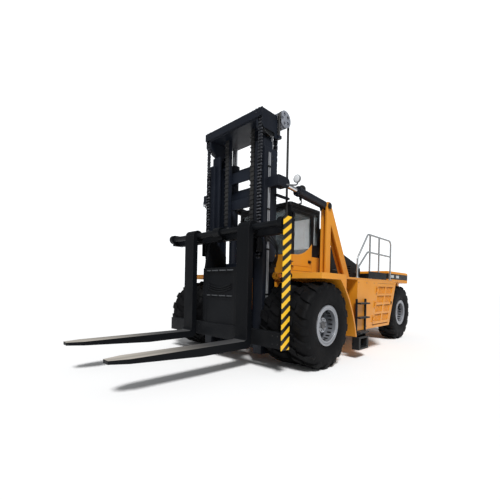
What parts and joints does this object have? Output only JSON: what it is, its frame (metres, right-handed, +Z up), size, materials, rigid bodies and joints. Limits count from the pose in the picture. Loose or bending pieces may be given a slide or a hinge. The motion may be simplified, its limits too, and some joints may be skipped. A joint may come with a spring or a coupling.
{
  "type": "heavy counterbalance forklift",
  "caption": "Large counterbalance forklift with tilting two-stage mast, wide carriage with shaft-hung forks, central cab, twin front wheels and steered rear wheels.",
  "frame": {"origin": "on the ground, under the middle of the bounding box", "axes": "+X towards the fork tips, +Y to the driver's left, +Z up"},
  "size_m": [10.13, 4.15, 5.1847],
  "materials": {
    "yellow": "gloss",
    "black": "satin",
    "mast": "satin",
    "engine": "matt",
    "tread_plate": "satin",
    "cab": "satin",
    "glass": "clear",
    "seat": "matt",
    "plastic": "matt",
    "grey": "satin",
    "rail": "satin",
    "lamp": "gloss",
    "chrome": "polished",
    "sheave": "satin",
    "chain": "oiled",
    "hose": "matt",
    "shaft": "satin",
    "stripe": "gloss",
    "tyre": "matt",
    "rim": "satin",
    "fork": "satin"
  },
  "bodies": {
    "chassis": {"chassis_frame": "yellow", "front_axle": "black", "rear_axle": "black", "engine_block": "engine", "deck": "tread_plate", "toe_boards": "black", "hood_posts": "black", "counterweight": "yellow", "side_pods": "yellow", "front_fenders": "yellow", "a_frames": "yellow", "cab_frame": "cab", "cab_roof": "cab", "cab_glass": "glass", "cab_hinges": "black", "seat": "seat", "console": "plastic", "air_cleaner": "grey", "silencer": "grey", "handrails": "rail", "ladders": "black", "lamps": "lamp", "roof_fittings": "plastic"},
    "hood": {"engine_hood": "black"},
    "mast": {"outer_mast": "mast", "mast_brackets": "mast", "lift_barrels": "mast"},
    "inner_mast": {"inner_mast": "mast", "lift_rods": "chrome", "mast_sheaves": "sheave", "lift_chains": "chain", "mast_hose": "hose"},
    "carriage": {"carriage": "mast", "shaft_seats": "mast", "fork_shaft": "shaft", "edge_plates": "stripe"},
    "front_wheel_left": {"front_tyres_left": "tyre", "front_rims_left": "rim"},
    "steer_left": {"steer_knuckle_left": "black"},
    "rear_wheel_left": {"rear_tyre_left": "tyre", "rear_rim_left": "rim"},
    "fork_left": {"fork_left": "fork"},
    "tilt_barrel_left": {"tilt_barrel_left": "mast"},
    "tilt_rod_left": {"tilt_rod_left": "chrome"},
    "cab_door_left": {"cab_door_left": "cab", "cab_door_glass_left": "glass"},
    "grille_door_left": {"grille_door_left": "yellow"},
    "front_wheel_right": {"front_tyres_right": "tyre", "front_rims_right": "rim"},
    "steer_right": {"steer_knuckle_right": "black"},
    "rear_wheel_right": {"rear_tyre_right": "tyre", "rear_rim_right": "rim"},
    "fork_right": {"fork_right": "fork"},
    "tilt_barrel_right": {"tilt_barrel_right": "mast"},
    "tilt_rod_right": {"tilt_rod_right": "chrome"},
    "cab_door_right": {"cab_door_right": "cab", "cab_door_glass_right": "glass"},
    "grille_door_right": {"grille_door_right": "yellow"}
  },
  "joints": [
    {"name": "hood_lift", "type": "hinge", "parent": "chassis", "child": "hood", "pos_m": [-2.68, 0, 2.1], "axis": [0, -1, 0], "range_deg": [0, 55]},
    {"name": "mast_tilt", "type": "hinge", "parent": "chassis", "child": "mast", "pos_m": [1.785, 0, 0.42], "axis": [0, 1, 0], "range_deg": [-6, 6]},
    {"name": "mast_lift", "type": "slide", "parent": "mast", "child": "inner_mast", "axis": [0, 0, 1], "range_m": [-0.18, 1.8]},
    {"name": "carriage_lift", "type": "slide", "parent": "inner_mast", "child": "carriage", "axis": [0, 0, 1], "range_m": [-0.18, 1.8]},
    {"name": "front_wheel_left_spin", "type": "hinge", "parent": "chassis", "child": "front_wheel_left", "pos_m": [1.485, 1.51, 0.82], "axis": [0, 1, 0], "continuous": true},
    {"name": "steer_left_turn", "type": "hinge", "parent": "chassis", "child": "steer_left", "pos_m": [-3.615, 1.03, 0.82], "axis": [0, 0, 1], "range_deg": [-40, 40]},
    {"name": "rear_wheel_left_spin", "type": "hinge", "parent": "steer_left", "child": "rear_wheel_left", "pos_m": [-3.615, 1.38, 0.82], "axis": [0, 1, 0], "continuous": true},
    {"name": "fork_left_shift", "type": "slide", "parent": "carriage", "child": "fork_left", "axis": [0, 1, 0], "range_m": [-0.45, 0.6]},
    {"name": "tilt_barrel_left_swing", "type": "hinge", "parent": "chassis", "child": "tilt_barrel_left", "pos_m": [0.065, 1.08, 3.47], "axis": [0, 1, 0], "range_deg": [-1.5, 1.5]},
    {"name": "tilt_rod_left_slide", "type": "slide", "parent": "tilt_barrel_left", "child": "tilt_rod_left", "axis": [0.997, 0, 0.0776], "range_m": [-0.335, 0.335]},
    {"name": "cab_door_left_open", "type": "hinge", "parent": "chassis", "child": "cab_door_left", "pos_m": [1.027, 0.822, 2.6], "axis": [0, 0, -1], "range_deg": [0, 80]},
    {"name": "grille_door_left_open", "type": "hinge", "parent": "chassis", "child": "grille_door_left", "pos_m": [-0.7829, 1.968, 1.16], "axis": [0.285, 0, -0.9585], "range_deg": [0, 100]},
    {"name": "front_wheel_right_spin", "type": "hinge", "parent": "chassis", "child": "front_wheel_right", "pos_m": [1.485, -1.51, 0.82], "axis": [0, 1, 0], "continuous": true},
    {"name": "steer_right_turn", "type": "hinge", "parent": "chassis", "child": "steer_right", "pos_m": [-3.615, -1.03, 0.82], "axis": [0, 0, 1], "range_deg": [-40, 40]},
    {"name": "rear_wheel_right_spin", "type": "hinge", "parent": "steer_right", "child": "rear_wheel_right", "pos_m": [-3.615, -1.38, 0.82], "axis": [0, 1, 0], "continuous": true},
    {"name": "fork_right_shift", "type": "slide", "parent": "carriage", "child": "fork_right", "axis": [0, -1, 0], "range_m": [-0.45, 0.6]},
    {"name": "tilt_barrel_right_swing", "type": "hinge", "parent": "chassis", "child": "tilt_barrel_right", "pos_m": [0.065, -1.08, 3.47], "axis": [0, 1, 0], "range_deg": [-1.5, 1.5]},
    {"name": "tilt_rod_right_slide", "type": "slide", "parent": "tilt_barrel_right", "child": "tilt_rod_right", "axis": [0.997, 0, 0.0776], "range_m": [-0.335, 0.335]},
    {"name": "cab_door_right_open", "type": "hinge", "parent": "chassis", "child": "cab_door_right", "pos_m": [1.027, -0.822, 2.6], "axis": [0, 0, 1], "range_deg": [0, 80]},
    {"name": "grille_door_right_open", "type": "hinge", "parent": "chassis", "child": "grille_door_right", "pos_m": [-0.7829, -1.968, 1.16], "axis": [-0.285, 0, 0.9585], "range_deg": [0, 100]}
  ],
  "couplings": [
    {"joint": "carriage_lift", "follows": "mast_lift", "ratio": 1},
    {"joint": "tilt_barrel_left_swing", "follows": "mast_tilt", "ratio": 0.12},
    {"joint": "tilt_rod_left_slide", "follows": "mast_tilt", "m_per_rad": 3.17},
    {"joint": "tilt_barrel_right_swing", "follows": "mast_tilt", "ratio": 0.12},
    {"joint": "tilt_rod_right_slide", "follows": "mast_tilt", "m_per_rad": 3.17},
    {"joint": "steer_right_turn", "follows": "steer_left_turn", "ratio": 1}
  ]
}
